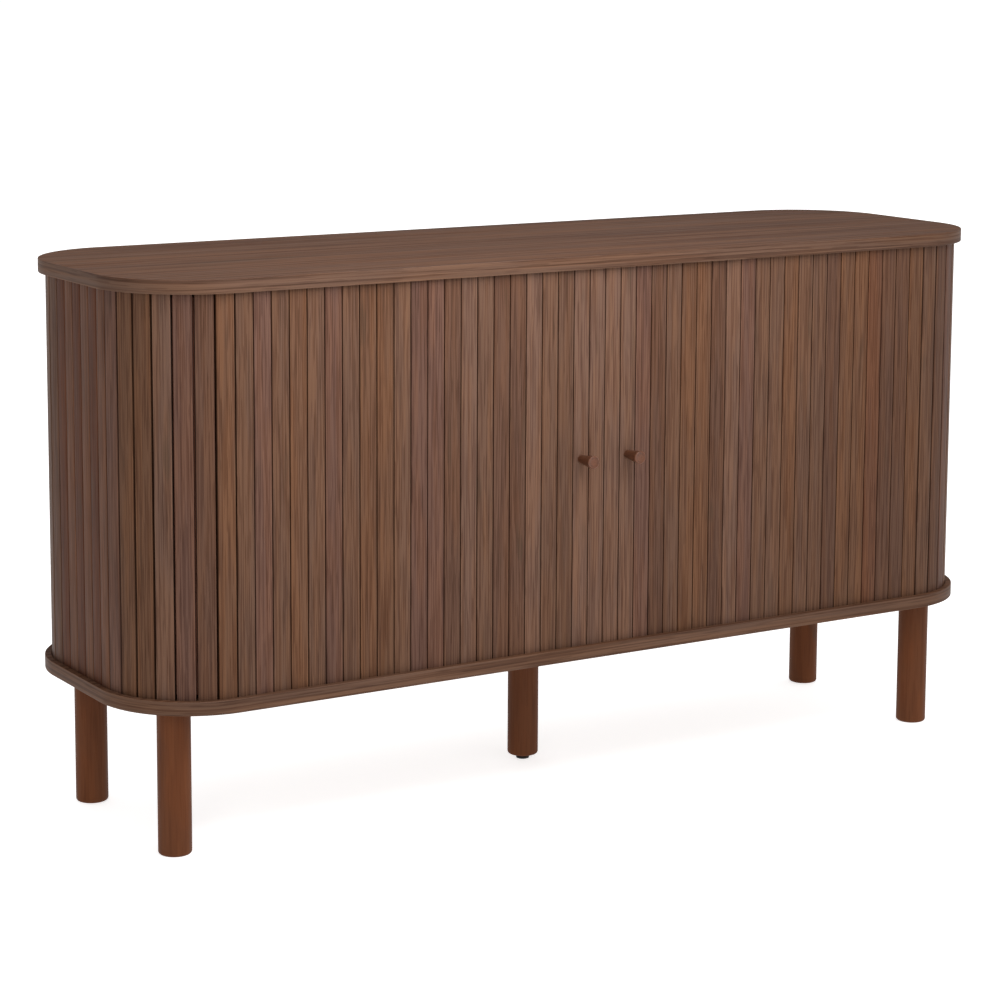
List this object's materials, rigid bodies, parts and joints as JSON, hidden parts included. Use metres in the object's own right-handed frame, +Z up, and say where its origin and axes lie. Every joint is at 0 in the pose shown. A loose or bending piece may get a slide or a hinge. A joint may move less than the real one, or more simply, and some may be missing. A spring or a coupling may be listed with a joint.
{
  "type": "tambour sideboard",
  "caption": "Sideboard on round legs with round-cornered top and bottom panels and tambour doors that slide along grooves from the middle, with partition and shelves inside.",
  "frame": {"origin": "on the floor, under the middle of the object's box, knobs included, which is 11 mm in front of the case's own middle", "axes": "+X to the right as one faces the front, +Y to the back, so the doors and knobs face -Y, +Z up"},
  "size_m": [1.38, 0.447, 0.75],
  "materials": {
    "walnut_veneer": "walnut veneer, satin lacquer",
    "walnut_slats": "walnut veneer slats, tone varies from slat to slat, satin lacquer",
    "solid_walnut": "stained solid wood, smooth satin lacquer",
    "inner_board": "melamine faced board, walnut print, matt",
    "thin_board": "thin fibreboard, walnut print, matt",
    "canvas": "dark cotton canvas",
    "steel": "zinc plated steel",
    "zinc": "die cast zinc",
    "beech": "plain beech dowel",
    "black_plastic": "moulded nylon"
  },
  "bodies": {
    "case": {"top_panel": "walnut_veneer", "bottom_panel": "walnut_veneer", "centre_partition": "inner_board", "left_inner_wall": "inner_board", "right_inner_wall": "inner_board", "false_back": "thin_board", "outer_back_panel": "thin_board", "channel_divider": "inner_board", "left_shelf": "inner_board", "right_shelf": "inner_board", "shelf_pins": "steel", "leg_front_left": "solid_walnut", "leg_front_right": "solid_walnut", "leg_back_left": "solid_walnut", "leg_back_right": "solid_walnut", "leg_centre": "solid_walnut", "leg_bolts": "steel", "leg_inserts": "zinc", "glide_insert": "zinc", "dowels": "beech", "cam_bolts": "steel", "cam_discs": "zinc", "case_screws": "steel", "back_screws": "steel", "left_curtain_slats": "walnut_slats", "left_curtain_canvas": "canvas", "left_front_corner_slats": "walnut_slats", "left_end_slats": "walnut_slats", "left_back_corner_slats": "walnut_slats", "left_end_canvas": "canvas", "right_curtain_slats": "walnut_slats", "right_curtain_canvas": "canvas", "right_front_corner_slats": "walnut_slats", "right_end_slats": "walnut_slats", "right_back_corner_slats": "walnut_slats", "right_end_canvas": "canvas"},
    "left_door": {"left_lead_slats": "walnut_slats", "left_lead_canvas": "canvas", "left_lead_batten": "inner_board", "left_batten_screws": "steel", "left_knob": "solid_walnut", "left_knob_screw": "steel"},
    "right_door": {"right_lead_slats": "walnut_slats", "right_lead_canvas": "canvas", "right_lead_batten": "inner_board", "right_batten_screws": "steel", "right_knob": "solid_walnut", "right_knob_screw": "steel"},
    "left_tail": {"left_tail_slat": "walnut_slats", "left_tail_canvas": "canvas"},
    "right_tail": {"right_tail_slat": "walnut_slats", "right_tail_canvas": "canvas"},
    "glide_foot": {"glide_foot": "black_plastic"},
    "glide_stem": {"glide_stem": "steel"}
  },
  "joints": [
    {"name": "left_door_slide", "type": "slide", "parent": "case", "child": "left_door", "axis": [-1, 0, 0], "range_m": [0, 0.47932], "deforming": ["left_curtain_slats", "left_curtain_canvas"]},
    {"name": "left_tail_slide", "type": "slide", "parent": "case", "child": "left_tail", "axis": [1, 0, 0], "range_m": [0, 0.47932]},
    {"name": "right_door_slide", "type": "slide", "parent": "case", "child": "right_door", "axis": [1, 0, 0], "range_m": [0, 0.47932], "deforming": ["right_curtain_slats", "right_curtain_canvas"]},
    {"name": "right_tail_slide", "type": "slide", "parent": "case", "child": "right_tail", "axis": [-1, 0, 0], "range_m": [0, 0.47932]},
    {"name": "glide_travel", "type": "slide", "parent": "case", "child": "glide_foot", "axis": [0, 0, -1], "range_m": [0, 0.008]},
    {"name": "glide_screw", "type": "hinge", "parent": "glide_foot", "child": "glide_stem", "pos_m": [0, 0.011, 0.02], "axis": [0, 0, -1], "range_deg": [0, 2310]}
  ],
  "couplings": [
    {"joint": "left_tail_slide", "follows": "left_door_slide", "ratio": 1},
    {"joint": "right_tail_slide", "follows": "right_door_slide", "ratio": 1},
    {"joint": "glide_screw", "follows": "glide_travel", "rad_per_m": 5026.5}
  ]
}
